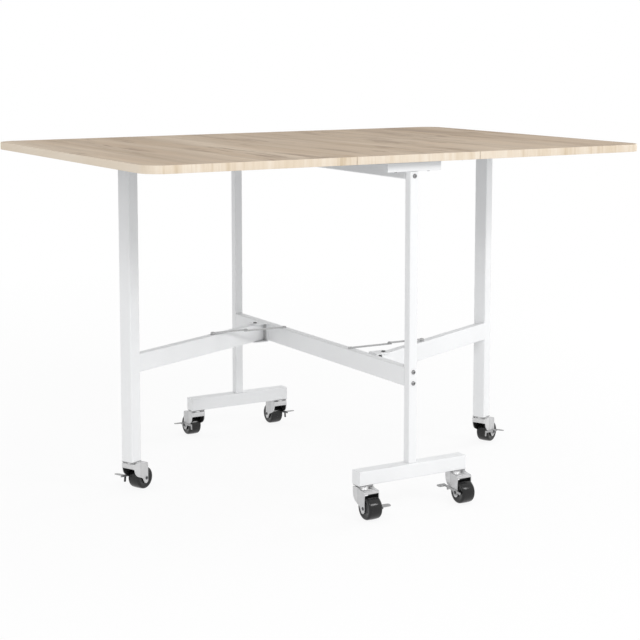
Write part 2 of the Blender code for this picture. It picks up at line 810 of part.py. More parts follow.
def lever_mesh(brake_side, tab_end):
    """Brake lever beside the fork, about the axle, with its tab at the fork's tail (+1) or front."""
    inner = fork_outer + lever_gap
    outer = inner + lever_sheet
    bar_top_level = lever_rise + lever_bar_height / 2
    bar_bottom_level = lever_rise - lever_bar_height / 2
    front = -axle_trail - lever_lead
    tail = fork_past_axle + lever_past_fork
    tab_start = tail - lever_tab_width if tab_end > 0 else front
    finger_start = front if tab_end > 0 else front + lever_tab_width
    finger_drop = lever_short_finger_drop if tab_end > 0 else lever_long_finger_drop

    def sided(name, start, end, low, high):
        """Block along the bar from start to end, between two (across, height) corners."""
        ys = sorted((brake_side * low[0], brake_side * high[0]))
        return block(name, (start, ys[0], low[1]), (end, ys[1], high[1]))

    made = sided("brake_lever", front, tail, (inner, bar_bottom_level), (outer, bar_top_level))
    finger_low = (inner, bar_bottom_level - finger_drop)
    finger_end = finger_start + lever_finger_width
    join(made, sided("lever_finger", finger_start, finger_end, finger_low, (outer, lever_rise)))
    tab_low = (inner, bar_top_level - lever_sheet)
    tab_high = (outer + lever_tab_length, bar_top_level)
    tab = sided("lever_tab", tab_start, tab_start + lever_tab_width, tab_low, tab_high)
    round_edges(tab, lever_tab_round, plate_corner_steps, 2, lambda middle: abs(middle.y) > outer)
    join(made, tab)
    eye_ends = ((0, brake_side * inner, 0), (0, brake_side * outer, 0))
    join(made, rod("lever_eye", *eye_ends, lever_eye_radius))
    hole_ends = ((0, 0, 0), (0, brake_side * 2 * outer, 0))
    cut(made, rod("lever_hole", *hole_ends, axle_radius + pin_gap))
    mesh = finished_mesh(made)
    mesh.transform(Matrix.Rotation(lever_tilt, 4, "Y"))
    return mesh


def caster(label, meshes, location, heading, brake, mount_turn):
    """Swivel caster: mount on the frame, fork on the swivel axis, wheel and lever on the axle."""
    x, y = location
    mount, fork, wheel, lever = meshes
    brake_side = brake[0]
    swivel = empty(f"swivel_{label}", (x, y, 0), heading)
    axle = (axle_trail, 0, axle_height)
    place(copy_of(f"mount_{label}", mount), bright_steel, None, (x, y, 0), (0, 0, mount_turn))
    place(copy_of(f"fork_{label}", fork[brake_side]), zinc_steel, swivel)
    place(copy_of(f"wheel_{label}", wheel), black_tread, swivel, axle, (math.pi / 2, 0, 0))
    place(copy_of(f"lever_{label}", lever[brake]), zinc_steel, swivel, axle)


def casters():
    """Four casters under the feet and two under the gate posts, headed as they stand."""
    sides = (-1, 1)
    forks = {side: fork_mesh(side) for side in sides}
    left_tail = (1, 1)
    right_tail = (-1, 1)
    left_front = (1, -1)
    right_front = (-1, -1)
    levers = {brake: lever_mesh(*brake) for brake in (left_tail, right_tail, left_front, right_front)}
    wheel = finished_mesh(turned("caster_wheel", wheel_profile(), wheel_steps))
    meshes = (caster_mount_mesh(), forks, wheel, levers)

    across = foot_length / 2 - foot_caster_inset
    toward_near = -math.pi / 2
    toward_far = math.pi / 2
    caster("near_left", meshes, (-across, -post_middle), toward_near, left_tail, 0)
    caster("near_right", meshes, (across, -post_middle), toward_near, right_front, 0)
    caster("far_left", meshes, (-across, post_middle), toward_far, left_tail, 0)
    caster("far_right", meshes, (across, post_middle), toward_far, right_front, 0)
    along = Vector((math.cos(gate_heading), math.sin(gate_heading)))
    aside = Vector((-along.y, along.x))
    gate_foot = Vector((pivot_out, -gate_pivot_place)) + gate_post_middle * along + gate_post_shift * aside
    plate_turn = gate_heading - math.pi / 2
    caster("gate_right", meshes, gate_foot, gate_heading, right_tail, plate_turn)
    caster("gate_left", meshes, -gate_foot, gate_heading, left_front, plate_turn)


def gate_side(label, turn, hinges, pin):
    """One side of the table: leaf, leaf hinges, gate leg with its bracket and pin, folding stay."""
    side = empty(f"side_{label}", turn=turn)
    leaf(label, side)
    leaf_hinges(label, side, hinges)
    gate_bracket(label, side)
    at = (pivot_out, -gate_pivot_place, (rail_bottom + rail_top) / 2)
    place(copy_of(f"pivot_pin_{label}", pin), dark_steel, side, at)
    pivot = empty(f"gate_pivot_{label}", (pivot_out, -gate_pivot_place, 0), gate_heading)
    pivot.parent = side
    gate_leg(label, pivot)
    stay(label, side, pivot)


middle_panel()
beams()
frame_bolt = frame_bolt_mesh()
end_frame("near", 0.0, frame_bolt)
end_frame("far", math.pi, frame_bolt)
plates = hinge_meshes()
pivot_pin = pivot_pin_mesh()
gate_side("right", 0.0, plates, pivot_pin)
gate_side("left", math.pi, plates, pivot_pin)
casters()
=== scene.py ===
"""Looks of the folding dining table: smooth boards, casters and fasteners, materials, light, camera."""

import json
import math

import bmesh
import bpy
from mathutils import Matrix, Vector

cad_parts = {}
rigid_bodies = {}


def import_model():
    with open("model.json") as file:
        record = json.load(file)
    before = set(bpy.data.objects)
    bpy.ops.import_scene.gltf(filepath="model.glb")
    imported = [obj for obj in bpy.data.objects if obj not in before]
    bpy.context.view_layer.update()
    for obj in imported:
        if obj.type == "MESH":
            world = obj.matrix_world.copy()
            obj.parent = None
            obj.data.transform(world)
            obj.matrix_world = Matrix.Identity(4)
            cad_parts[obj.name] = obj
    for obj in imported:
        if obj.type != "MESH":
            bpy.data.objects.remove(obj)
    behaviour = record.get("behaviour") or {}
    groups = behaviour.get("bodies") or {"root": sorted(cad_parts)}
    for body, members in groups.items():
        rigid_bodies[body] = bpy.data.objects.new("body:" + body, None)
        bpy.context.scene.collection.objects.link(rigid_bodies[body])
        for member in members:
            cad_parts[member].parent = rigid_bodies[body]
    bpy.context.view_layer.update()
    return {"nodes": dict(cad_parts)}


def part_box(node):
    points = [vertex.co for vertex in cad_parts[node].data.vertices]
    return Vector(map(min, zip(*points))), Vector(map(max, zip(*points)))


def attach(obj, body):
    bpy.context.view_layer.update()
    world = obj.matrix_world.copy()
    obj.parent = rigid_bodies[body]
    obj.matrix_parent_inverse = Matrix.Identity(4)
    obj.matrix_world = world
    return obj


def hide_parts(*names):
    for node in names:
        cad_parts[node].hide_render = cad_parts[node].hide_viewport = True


for item in list(bpy.data.objects):
    bpy.data.objects.remove(item, do_unlink=True)

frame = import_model()

# Camera, from points measured in the photograph
camera_place = (-1.81167, -3.05851, 0.97172)
camera_pitch = 0.11621
camera_yaw = 0.53721
camera_focal_pixels = 1589.17375
camera_shift = -0.15
image_pixels = 640
sensor_width = 36.0

# Light: the surround's strength, and the softboxes' names, places, sizes and watts
sky_strength = 0.75
softbox_aim = (0, 0, 0.30)
softboxes = (
    ("front_right", (1.8, -3.3, 2.45), 0.9, 24.0),
    ("front_left", (-2.0, -3.6, 3.2), 1.4, 48.0),
    ("right", (3.6, 0.3, 1.6), 1.4, 34.0),
)

# Floor: its share of plain white grows from near the table to far away, and the rest takes the shadow
floor_radius = 9.0
floor_sides = 96
floor_tone = 0.94
floor_near, floor_near_white = 1.0, 0.88
floor_far, floor_far_white = 3.2, 1.0

# Boards
board_band = 0.0010
board_arris = 0.0008
board_corner = 0.045
board_corner_steps = 24
arris_steps = 4
band_gap = 0.00002

# Figure of the oak from the left end (0) to the right (1): a pale end, and streaks from pale to dark
oak_middle = 0.48
oak_pale_end = 1.0
oak_pale_reach = 0.10
oak_right_end = 0.40
oak_streaks = (0.33, 0.58)
oak_streak_pale = 0.76
oak_streak_dark = 0.27
oak_streak_half = 0.02
oak_streak_reach = 0.06

# Small forms: corners closer than the weld distance are one corner
weld_distance = 0.000002
small_bevel = 0.0003
bevel_steps = 2
seat_gap = 0.0003

# Casters, in a frame with the swivel axis at the origin and the wheel trailing along +X
foot_caster_x = 0.1155
foot_caster_y = 0.383
gate_caster = (0.44720, -0.02712)
gate_heading = math.radians(24.9)
axle_trail = 0.028
tube_bottom = 0.0668

# Wheel: radii of its bore, hub and web, and its rounded shoulders
wheel_radius = 0.0245
wheel_half = 0.0156
wheel_crown = 0.0009
wheel_side_round = 0.0046
wheel_bore = 0.0033
wheel_hub = 0.0080
wheel_hub_foot = 0.0083
wheel_web_end = 0.0165
wheel_face_start = 0.0172
wheel_web_depth = 0.0003
tread_steps = 12

# Fork, pressed from sheet: collar, slope to the rear rim, boss round the axle, cove and arched front
fork_lead = 0.0135
fork_tail = 0.033
fork_sheet = 0.0018
fork_inner = 0.0164
fork_outer = fork_inner + fork_sheet
fork_plan_round = 0.004
fork_plate_bottom = 0.0537
fork_plate_top = fork_plate_bottom + fork_sheet
fork_collar_top = 0.0638
fork_collar_end = 0.0070
fork_slope = ((0.0096, fork_collar_top - 0.0006), (0.0136, 0.0611), (0.0165, 0.0601))
fork_rim_top = 0.0590
fork_rim_lap = 0.0004
fork_rim_lift = 0.0001
fork_rim_inset = 0.0002
fork_tail_round = 0.0025
fork_boss_radius = 0.0065
fork_boss_drop = 0.0045
fork_cove = (0.0118, 0.0228)
fork_cove_radius = 0.0050
fork_front_middle = (0.0095, 0.0502)
fork_front_round = 0.0195
fork_apron_turn = 0.0022
fork_apron_low = 0.0508
fork_apron_high = 0.0518
fork_brow_drop = 0.0018
fork_brow_end = -0.0065
fork_brow_round = 0.002
fork_bore_low = 0.050
fork_bore_high = 0.059
# Place of the fork's upright crease, drawn with painted shade and a bump
fork_crease_at = 0.0085

# Axle: its head as (radius, depth below the top) points
axle_radius = 0.003
axle_head = ((0, 0), (0.0018, 0), (0.0030, 0.0003), (0.0037, 0.0010))
axle_head_radius = 0.0037
axle_head_height = 0.0014
axle_past_lever = 0.0023

# Mount: stem, swivel head, kingpin rivet and plate
stem_length = 0.018
stem_radius = 0.004
stem_tip_radius = 0.0032
stem_tip_height = 0.002
swivel_head = 0.0112
swivel_head_round = 0.0020
rivet_radius = 0.006
rivet_shoulder = 0.0058
rivet_tip_radius = 0.0048
rivet_height = 0.002
mount_plate_bottom = 0.0654
mount_plate_top = 0.0665
mount_plate_half = (0.017, 0.015)
mount_plate_round = 0.004
mount_plate_gap = 0.00002
mount_plate_bore = stem_radius + 0.00005

# Brake lever beside the fork, about the axle: bar, finger, tab and eye; drops by the tab's end
lever_gap = 0.0004
lever_sheet = 0.0016
lever_height = 0.005
lever_front = -axle_trail - 0.014
lever_tail = 0.0175
lever_finger = 0.0045
lever_finger_drops = {1: 0.008, -1: 0.004}
lever_finger_round = 0.0009
lever_tab = 0.012
lever_tab_reach = 0.020
lever_tab_round = 0.0045
lever_eye = 0.0068
lever_bore = 0.0033
lever_tilt = math.radians(6.5)

# Near-black stop hung from the levers with their tab at the front, on two casters: painted shade of the
# lever's finger
stop_gap = 0.0001
stop_thickness = 0.0022
stop_front = -axle_trail - 0.0022
stop_length = 0.0049
stop_bottom = -0.0112
stop_top = -0.0005
stop_round = 0.0016

# Button-head bolts: the head's (radius, height) points and its hexagon socket
bolt_head = ((0.0024, 0.003), (0.0033, 0.0026), (0.0041, 0.0018), (0.0046, 0.0009), (0.0048, 0.0))
bolt_head_height = 0.003
bolt_radius = 0.003
bolt_length = 0.038
socket_floor = 0.0012
socket_radius = 0.0022

# Screws of the top bars: the head's (radius, height) points, heads down, with a cross recess
bar_screw_place = 0.040
bar_screw_head = ((0.0019, -0.0016), (0.0030, -0.0012), (0.0036, -0.0005), (0.0037, 0.0))
bar_screw_head_height = 0.0016
bar_screw_radius = 0.0020
bar_screw_length = 0.0188
cross_length, cross_width = 0.0020, 0.0004
cross_floor = -0.0007

# Pins of the gates: half the grip, half the whole length, and radii
pin_grip = 0.0226
pin_cap = 0.0244
pin_radius = 0.003
pin_head_radius = 0.0048
pin_head = ((0.0030, 0.0), (0.0041, 0.0004), (pin_head_radius, 0.0011))

# Strip in the gap at each gate's hinge, a grey sheet of painted shade there
strip_offset = 0.0022
strip_thickness = 0.0016
strip_outward = 0.0110
strip_inward = 0.0165
strip_margin = 0.0024
strip_bevel = 0.0004

# Sockets of a Mix node that mixes colours
mix_factor, mix_first, mix_second, mix_result = 0, 6, 7, 2


def node_material(name, roughness, metallic=0.0):
    """Principled material, with its node tree and its shader."""
    made = bpy.data.materials.new(name)
    made.use_nodes = True
    tree = made.node_tree
    surface = tree.nodes["Principled BSDF"]
    surface.inputs["Roughness"].default_value = roughness
    surface.inputs["Metallic"].default_value = metallic
    return made, tree, surface


def add(tree, kind, inputs=None, **settings):
    """New node with its settings and its inputs, each a value or another node's output."""
    made = tree.nodes.new(kind)
    for key, value in settings.items():
        setattr(made, key, value)
    for key, value in (inputs or {}).items():
        if isinstance(value, bpy.types.NodeSocket):
            tree.links.new(value, made.inputs[key])
        else:
            made.inputs[key].default_value = value
    return made


def scaled_place(tree, scale):
    """Object coordinates, stretched."""
    where = add(tree, "ShaderNodeTexCoord")
    stretch = {"Vector": where.outputs["Object"], "Scale": scale}
    return add(tree, "ShaderNodeMapping", stretch).outputs[0]


def noise(tree, scale, detail=3.0, rough=0.5, distortion=0.0):
    """Noise over stretched object coordinates."""
    made = add(
        tree,
        "ShaderNodeTexNoise",
        {
            "Vector": scaled_place(tree, scale),
            "Scale": 1.0,
            "Detail": detail,
            "Roughness": rough,
            "Distortion": distortion,
        },
    )
    return made.outputs["Fac"]


def ramp(tree, factor, stops):
    """Colour ramp through (place, colour) stops."""
    made = add(tree, "ShaderNodeValToRGB", {"Fac": factor})
    while len(made.color_ramp.elements) < len(stops):
        made.color_ramp.elements.new(1.0)
    for element, (place, colour) in zip(made.color_ramp.elements, stops):
        element.position = place
        element.color = (*colour, 1.0)
    return made.outputs["Color"]


def spread(tree, value, low, high, to_low, to_high):
    """A value mapped from one range to another."""
    made = add(
        tree,
        "ShaderNodeMapRange",
        {"Value": value, "From Min": low, "From Max": high, "To Min": to_low, "To Max": to_high},
    )
    return made.outputs["Result"]


def math_node(tree, operation, first, second):
    """Two values, or outputs, worked into one."""
    return add(tree, "ShaderNodeMath", {0: first, 1: second}, operation=operation).outputs[0]


def weighted(tree, *parts):
    """Sum of (output, weight) parts."""
    total = None
    for source, weight in parts:
        part = math_node(tree, "MULTIPLY", source, weight)
        total = part if total is None else math_node(tree, "ADD", total, part)
    return total


def mixed(tree, factor, first, second):
    """A colour output mixed towards a plain colour or another output."""
    made = add(tree, "ShaderNodeMix", data_type="RGBA", blend_type="MIX")
    for key, value in ((mix_factor, factor), (mix_first, first), (mix_second, second)):
        if isinstance(value, bpy.types.NodeSocket):
            tree.links.new(value, made.inputs[key])
        else:
            made.inputs[key].default_value = (*value, 1.0)
    return made.outputs[mix_result]


def bump(tree, surface, height, strength, distance):
    """Fine relief of the surface."""
    made = add(tree, "ShaderNodeBump", {"Height": height, "Strength": strength, "Distance": distance})
    tree.links.new(made.outputs["Normal"], surface.inputs["Normal"])


def finish_with(tree, surface, colour, roughness):
    """Link a colour and a roughness to the surface."""
    tree.links.new(colour, surface.inputs["Base Color"])
    tree.links.new(roughness, surface.inputs["Roughness"])


def oak_bands():
    """Stops of the oak's broad bands, from the left end to the right."""
    bands = [(0.0, oak_pale_end), (oak_pale_reach, oak_middle)]
    for at in oak_streaks:
        bands.append((at - oak_streak_reach, oak_middle))
        bands.append((at - oak_streak_half, oak_streak_pale))
        bands.append((at + oak_streak_half, oak_streak_dark))
        bands.append((at + oak_streak_reach, oak_middle))
    bands.append((1.0, oak_right_end))
    return [(place, (tone, tone, tone)) for place, tone in bands]


def oak_top():
    """Oak-look laminate, grain along Y: broad bands, streaks and short dark pores, with painted light:
    paler towards the near edge and darker towards the far edge.
    """
    made, tree, surface = node_material("oak_top", 0.5)
    surface.inputs["Specular IOR Level"].default_value = 0.12
    broad = noise(tree, (9.0, 0.9, 9.0), detail=2.0, rough=0.55, distortion=0.5)
    streak = noise(tree, (62.0, 2.0, 62.0), detail=5.0, rough=0.62, distortion=0.5)
    fine = noise(tree, (330.0, 7.0, 330.0), detail=3.0, rough=0.6)
    pore = noise(tree, (620.0, 22.0, 620.0), detail=2.0, rough=0.5)
    lines = noise(tree, (44.0, 5.0, 44.0), detail=4.0, rough=0.6, distortion=0.8)
    patch = noise(tree, (7.0, 2.4, 7.0), detail=2.0, rough=0.5)
    hue = noise(tree, (24.0, 2.2, 24.0), detail=3.0, rough=0.6)
    left, near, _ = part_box("leaf_left")[0]
    right, far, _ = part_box("leaf_right")[1]
    where = add(tree, "ShaderNodeTexCoord")
    parted = add(tree, "ShaderNodeSeparateXYZ", {0: where.outputs["Object"]})
    across = spread(tree, parted.outputs["X"], left, right, 0.0, 1.0)
    figure = ramp(tree, across, oak_bands())
    tone = weighted(tree, (broad, 0.34), (streak, 0.40), (fine, 0.18), (figure, 0.15))
    # Painted light and shade: tone raised towards the near edge, lowered towards the far edge
    tone = math_node(tree, "ADD", tone, spread(tree, parted.outputs["Y"], near, far, 0.022, -0.014))
    base = ramp(
        tree,
        tone,
        [
            (0.43, (0.338, 0.248, 0.164)),
            (0.49, (0.414, 0.318, 0.223)),
            (0.54, (0.465, 0.365, 0.265)),
            (0.59, (0.512, 0.411, 0.306)),
            (0.65, (0.585, 0.484, 0.370)),
        ],
    )
    pores = spread(tree, pore, 0.30, 0.40, 0.40, 0.0)
    thin = spread(tree, lines, 0.52, 0.62, 0.0, 0.90)
    thin = math_node(tree, "MULTIPLY", thin, spread(tree, patch, 0.45, 0.56, 0.08, 1.0))
    base = mixed(tree, spread(tree, hue, 0.46, 0.66, 0.0, 0.5), base, (0.494, 0.365, 0.244))
    base = mixed(tree, pores, base, (0.30, 0.215, 0.145))
    colour = mixed(tree, thin, base, (0.285, 0.205, 0.138))
    finish_with(tree, surface, colour, spread(tree, streak, 0.3, 0.7, 0.46, 0.58))
    bump(tree, surface, math_node(tree, "SUBTRACT", fine, pores), 0.10, 0.0002)
    return made


def oak_band():
    """Pale edging with soft upright streaks, as of end grain."""
    made, tree, surface = node_material("oak_edge_band", 0.5)
    surface.inputs["Specular IOR Level"].default_value = 0.2
    broad = noise(tree, (14.0, 0.6, 4.0), detail=2.0, rough=0.6)
    streak = noise(tree, (70.0, 1.2, 8.0), detail=3.0, rough=0.6)
    fine = noise(tree, (420.0, 5.0, 40.0), detail=2.0, rough=0.6)
    lines = noise(tree, (95.0, 1.5, 6.0), detail=2.0, rough=0.6, distortion=0.3)
    patch = noise(tree, (9.0, 1.2, 5.0), detail=1.0, rough=0.5)
    colour = ramp(
        tree,
        weighted(tree, (broad, 0.50), (streak, 0.38), (fine, 0.12)),
        [
            (0.34, (0.62, 0.500, 0.355)),
            (0.42, (0.72, 0.610, 0.472)),
            (0.50, (0.765, 0.660, 0.532)),
            (0.62, (0.83, 0.745, 0.630)),
        ],
    )
    soft = spread(tree, lines, 0.50, 0.72, 0.0, 0.60)
    soft = math_node(tree, "MULTIPLY", soft, spread(tree, patch, 0.48, 0.62, 0.10, 1.0))
    colour = mixed(tree, soft, colour, (0.56, 0.435, 0.285))
    finish_with(tree, surface, colour, spread(tree, fine, 0.3, 0.7, 0.45, 0.56))
    bump(tree, surface, fine, 0.06, 0.0002)
    return made


def backing():
    """Neutral backing paper under the boards: faint fibres and a soft cloud of tone."""
    made, tree, surface = node_material("board_backing_look", 0.65)
    surface.inputs["Specular IOR Level"].default_value = 0.2
    cloud = noise(tree, (7.0, 7.0, 7.0), detail=3.0)
    fibre = noise(tree, (420.0, 60.0, 420.0), detail=3.0, rough=0.6)
    tone = weighted(tree, (cloud, 0.6), (fibre, 0.4))
    colour = ramp(tree, tone, [(0.35, (0.16, 0.161, 0.163)), (0.65, (0.20, 0.201, 0.203))])
    finish_with(tree, surface, colour, spread(tree, fibre, 0.3, 0.7, 0.58, 0.70))
    bump(tree, surface, fibre, 0.06, 0.0002)
    return made


def powder_coat():
    """White powder coat: faint orange peel, a little unevenness in tone and gloss."""
    made, tree, surface = node_material("white_powder_coat_look", 0.42)
    cloud = noise(tree, (6.0, 6.0, 6.0), detail=3.0)
    peel = noise(tree, (700.0, 700.0, 700.0), detail=2.0)
    speck = noise(tree, (2600.0, 2600.0, 2600.0), detail=1.0)
    colour = ramp(tree, cloud, [(0.3, (0.858, 0.866, 0.874)), (0.7, (0.89, 0.897, 0.904))])
    finish_with(tree, surface, colour, spread(tree, peel, 0.3, 0.7, 0.36, 0.48))
    bump(tree, surface, weighted(tree, (peel, 1.0), (speck, 0.3)), 0.08, 0.0003)
    return made


def plating(tree):
    """Cloud of tone and fine rolling marks of plated steel."""
    cloud = noise(tree, (140.0, 140.0, 140.0), detail=4.0, rough=0.6)
    marks = noise(tree, (150.0, 900.0, 2400.0), detail=2.0)
    return cloud, marks


def pressed_steel(name, dark, pale, low_gloss, high_gloss, metallic):
    """Plated pressed steel: cloudy plating, fine rolling marks, uneven gloss."""
    made, tree, surface = node_material(name, low_gloss, metallic)
    cloud, marks = plating(tree)
    colour = ramp(tree, cloud, [(0.3, dark), (0.7, pale)])
    finish_with(tree, surface, colour, spread(tree, marks, 0.3, 0.7, low_gloss, high_gloss))
    bump(tree, surface, marks, 0.03, 0.0001)
    return made


def pressed_fork():
    """Zinc plating of the forks, with painted shade: a dark stripe along an upright crease, also bumped,
    and a darker tail past it.
    """
    made, tree, surface = node_material("zinc_fork_look", 0.45, 0.45)
    cloud, marks = plating(tree)
    where = add(tree, "ShaderNodeTexCoord")
    along = add(tree, "ShaderNodeSeparateXYZ", {0: where.outputs["Object"]}).outputs["X"]
    off = math_node(tree, "ABSOLUTE", math_node(tree, "SUBTRACT", along, fork_crease_at), 0.0)
    # Painted shade: a dark stripe along the crease
    line = spread(tree, off, 0.0005, 0.0028, 0.24, 0.0)
    # Painted shade: the tail past the crease, darker
    shade_behind_crease = spread(tree, along, fork_crease_at, fork_crease_at + 0.001, 0.0, 0.26)
    colour = ramp(tree, cloud, [(0.3, (0.62, 0.62, 0.625)), (0.7, (0.69, 0.69, 0.69))])
    colour = mixed(tree, shade_behind_crease, colour, (0.42, 0.42, 0.425))
    colour = mixed(tree, line, colour, (0.32, 0.32, 0.325))
    finish_with(tree, surface, colour, spread(tree, marks, 0.3, 0.7, 0.38, 0.50))
    bump(tree, surface, weighted(tree, (marks, 0.3), (line, -1.0)), 0.15, 0.0002)
    return made


def rubber():
    """Black tread: faint mould texture and a little dust."""
    made, tree, surface = node_material("black_tread_look", 0.2)
    surface.inputs["Specular IOR Level"].default_value = 0.4
    dust = noise(tree, (160.0, 160.0, 160.0), detail=4.0, rough=0.65)
    grain = noise(tree, (1900.0, 1900.0, 1900.0), detail=2.0)
    colour = ramp(tree, dust, [(0.35, (0.006, 0.006, 0.0064)), (0.75, (0.011, 0.011, 0.011))])
    finish_with(tree, surface, colour, spread(tree, dust, 0.3, 0.7, 0.12, 0.18))
    bump(tree, surface, grain, 0.04, 0.0001)
    return made


# Steels: material name, darkest and palest tone, least and most roughness, metallic share
steels = {
    "lever": ("zinc_lever_look", (0.32, 0.32, 0.325), (0.44, 0.44, 0.44), 0.34, 0.46, 0.6),
    "plate": ("zinc_plate_look", (0.36, 0.36, 0.365), (0.45, 0.45, 0.45), 0.40, 0.52, 0.4),
    # Painted shade: the near-black inside of the forks round the wheels
    "shade": ("fork_inside_look", (0.016, 0.016, 0.016), (0.03, 0.03, 0.03), 0.55, 0.70, 0.2),
    # Bright steel; the same look paints light into the forks' dishes
    "bright": ("bright_steel_and_painted_dish_light_look", (0.93, 0.93, 0.935), (0.97, 0.97, 0.97), 0.12, 0.20, 0.1),
    "swivel": ("swivel_head_look", (0.90, 0.90, 0.905), (0.95, 0.95, 0.95), 0.16, 0.24, 0.5),
    "stay": ("stay_steel_look", (0.44, 0.44, 0.445), (0.56, 0.56, 0.56), 0.34, 0.46, 0.4),
    "dark": ("dark_pin_look", (0.055, 0.055, 0.058), (0.11, 0.11, 0.115), 0.26, 0.40, 0.8),
    "bolt": ("bolt_steel_look", (0.26, 0.26, 0.265), (0.36, 0.36, 0.365), 0.22, 0.32, 0.7),
    # Painted shade: the near-black of the stops
    "stop": ("painted_shade_stop_look", (0.03, 0.03, 0.031), (0.055, 0.055, 0.056), 0.45, 0.60, 0.0),
}
looks = {
    "oak_top": oak_top(),
    "oak_band": oak_band(),
    "backing": backing(),
    "white": powder_coat(),
    "zinc": pressed_fork(),
    "rubber": rubber(),
}
for key, values in steels.items():
    looks[key] = pressed_steel(*values)


def temporary(shape):
    """Object made from a bmesh, as a step towards a piece."""
    bmesh.ops.recalc_face_normals(shape, faces=shape.faces)
    mesh = bpy.data.meshes.new("step")
    shape.to_mesh(mesh)
    shape.free()
    made = bpy.data.objects.new("step", mesh)
    bpy.context.scene.collection.objects.link(made)
    return made


def worked(made):
    """The object with its modifiers worked in."""
    graph = bpy.context.evaluated_depsgraph_get()
    mesh = bpy.data.meshes.new_from_object(made.evaluated_get(graph))
    made.modifiers.clear()
    made.data = mesh
    return made


def welded(made):
    """The object without the slivers that a Boolean or a bevel leaves."""
    shape = bmesh.new()
    shape.from_mesh(made.data)
    bmesh.ops.remove_doubles(shape, verts=shape.verts, dist=weld_distance)
    bmesh.ops.dissolve_degenerate(shape, dist=weld_distance, edges=shape.edges)
    shape.to_mesh(made.data)
    shape.free()
    return made


def boolean(target, tool, operation):
    """Exact Boolean; the tool is removed."""
    step = target.modifiers.new("step", "BOOLEAN")
    step.operation = operation
    step.solver = "EXACT"
    step.object = tool
    welded(worked(target))
    bpy.data.objects.remove(tool, do_unlink=True)


def bevelled(made, width=small_bevel, angle=40.0):
    """Every edge sharper than the angle, rounded."""
    step = made.modifiers.new("step", "BEVEL")
    step.width = width
    step.segments = bevel_steps
    step.limit_method = "ANGLE"
    step.angle_limit = math.radians(angle)
    return welded(worked(made))


def block(low, high):
    """Box between two corners."""
    low = Vector(low)
    size = Vector(high) - low
    place = Matrix.Translation(low + size / 2) @ Matrix.Diagonal((*size, 1.0))
    shape = bmesh.new()
    bmesh.ops.create_cube(shape, size=1.0, matrix=place)
    return temporary(shape)


def round_along(made, axis, radius, steps, keep=None):
    """Round the edges that run along one axis, or those of them that are kept by their middle."""
    shape = bmesh.new()
    shape.from_mesh(made.data)
    chosen = []
    for edge in shape.edges:
        run = edge.verts[1].co - edge.verts[0].co
        middle = (edge.verts[0].co + edge.verts[1].co) / 2
        if abs(run[axis]) > 0.999 * run.length and (keep is None or keep(middle)):
            chosen.append(edge)
    bmesh.ops.bevel(shape, geom=chosen, offset=radius, segments=steps, profile=0.5, affect="EDGES")
    shape.to_mesh(made.data)
    shape.free()


def rod(start, end, radius, sides=32):
    """Cylinder between two points."""
    start = Vector(start)
    span = Vector(end) - start
    turn = Vector((0, 0, 1)).rotation_difference(span).to_matrix().to_4x4()
    shape = bmesh.new()
    bmesh.ops.create_cone(
        shape,
        cap_ends=True,
        segments=sides,
        radius1=radius,
        radius2=radius,
        depth=span.length,
        matrix=Matrix.Translation(start + span / 2) @ turn,
    )
    return temporary(shape)


def turned(profile, steps=48):
    """Profile of (radius, height) points, turned about Z into one closed skin."""
    shape = bmesh.new()
    points = [shape.verts.new((radius, 0, height)) for radius, height in profile]
    edges = [shape.edges.new(pair) for pair in zip(points, points[1:] + points[:1])]
    bmesh.ops.spin(
        shape,
        geom=points + edges,
        axis=(0, 0, 1),
        cent=(0, 0, 0),
        angle=2 * math.pi,
        steps=steps,
        use_merge=True,
    )
    bmesh.ops.remove_doubles(shape, verts=shape.verts, dist=weld_distance)
    return temporary(shape)


def drawn(loop, along):
    """Flat loop of points, drawn out along a vector into a solid."""
    shape = bmesh.new()
    face = shape.faces.new([shape.verts.new(point) for point in loop])
    grown = bmesh.ops.extrude_face_region(shape, geom=[face])
    corners = [item for item in grown["geom"] if isinstance(item, bmesh.types.BMVert)]
    bmesh.ops.translate(shape, verts=corners, vec=along)
    return temporary(shape)


def arc(middle, radius, start, end, steps):
    """Points on an arc, in degrees."""
    points = []
    for step in range(steps + 1):
        angle = math.radians(start + (end - start) * step / steps)
        points.append((middle[0] + radius * math.cos(angle), middle[1] + radius * math.sin(angle)))
    return points


def mirrored(profile):
    """Profile of (radius, height) points in reverse, with the heights turned over."""
    return [(radius, -height) for radius, height in reversed(profile)]


def piece(name, made, look, body, place=None, node=None, smooth=35.0, inside=None, inner=()):
    """Named piece of the table: smoothed, painted, put in place and riding on its body.

    Where a piece has more than one look, inside gives each face the number of its inner look, or 0.
    """
    mesh = made.data.copy()
    mesh.name = name
    for polygon in mesh.polygons:
        polygon.use_smooth = True
    mesh.set_sharp_from_angle(angle=math.radians(smooth))
    mesh.materials.clear()
    for key in (look, *inner):
        mesh.materials.append(looks[key])
    if inside is not None:
        for polygon in mesh.polygons:
            polygon.material_index = int(inside(polygon.center))
    result = bpy.data.objects.new(name, mesh)
    bpy.context.scene.collection.objects.link(result)
    if place is not None:
        result.matrix_world = place
    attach(result, body)
    if node is not None:
        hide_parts(node)


def discard(*made):
    """Remove pattern objects once their pieces are made."""
    for item in made:
        bpy.data.objects.remove(item, do_unlink=True)


def board_loop(low, high, inset, round_left, round_right):
    """Outline of a board, inset, with rounded corners at its left or right end."""
    x0, y0 = low[0] + inset, low[1] + inset
    x1, y1 = high[0] - inset, high[1] - inset
    radius = board_corner - inset
    points = []
    corners = (
        (x1, y0, -90, round_right, (-1, 1)),
        (x1, y1, 0, round_right, (-1, -1)),
        (x0, y1, 90, round_left, (1, -1)),
        (x0, y0, 180, round_left, (1, 1)),
    )
    for x, y, start, rounded, inward in corners:
        if rounded:
            middle = (x + inward[0] * radius, y + inward[1] * radius)
            points += arc(middle, radius, start, start + 90, board_corner_steps)
        else:
            points.append((x, y))
    return points


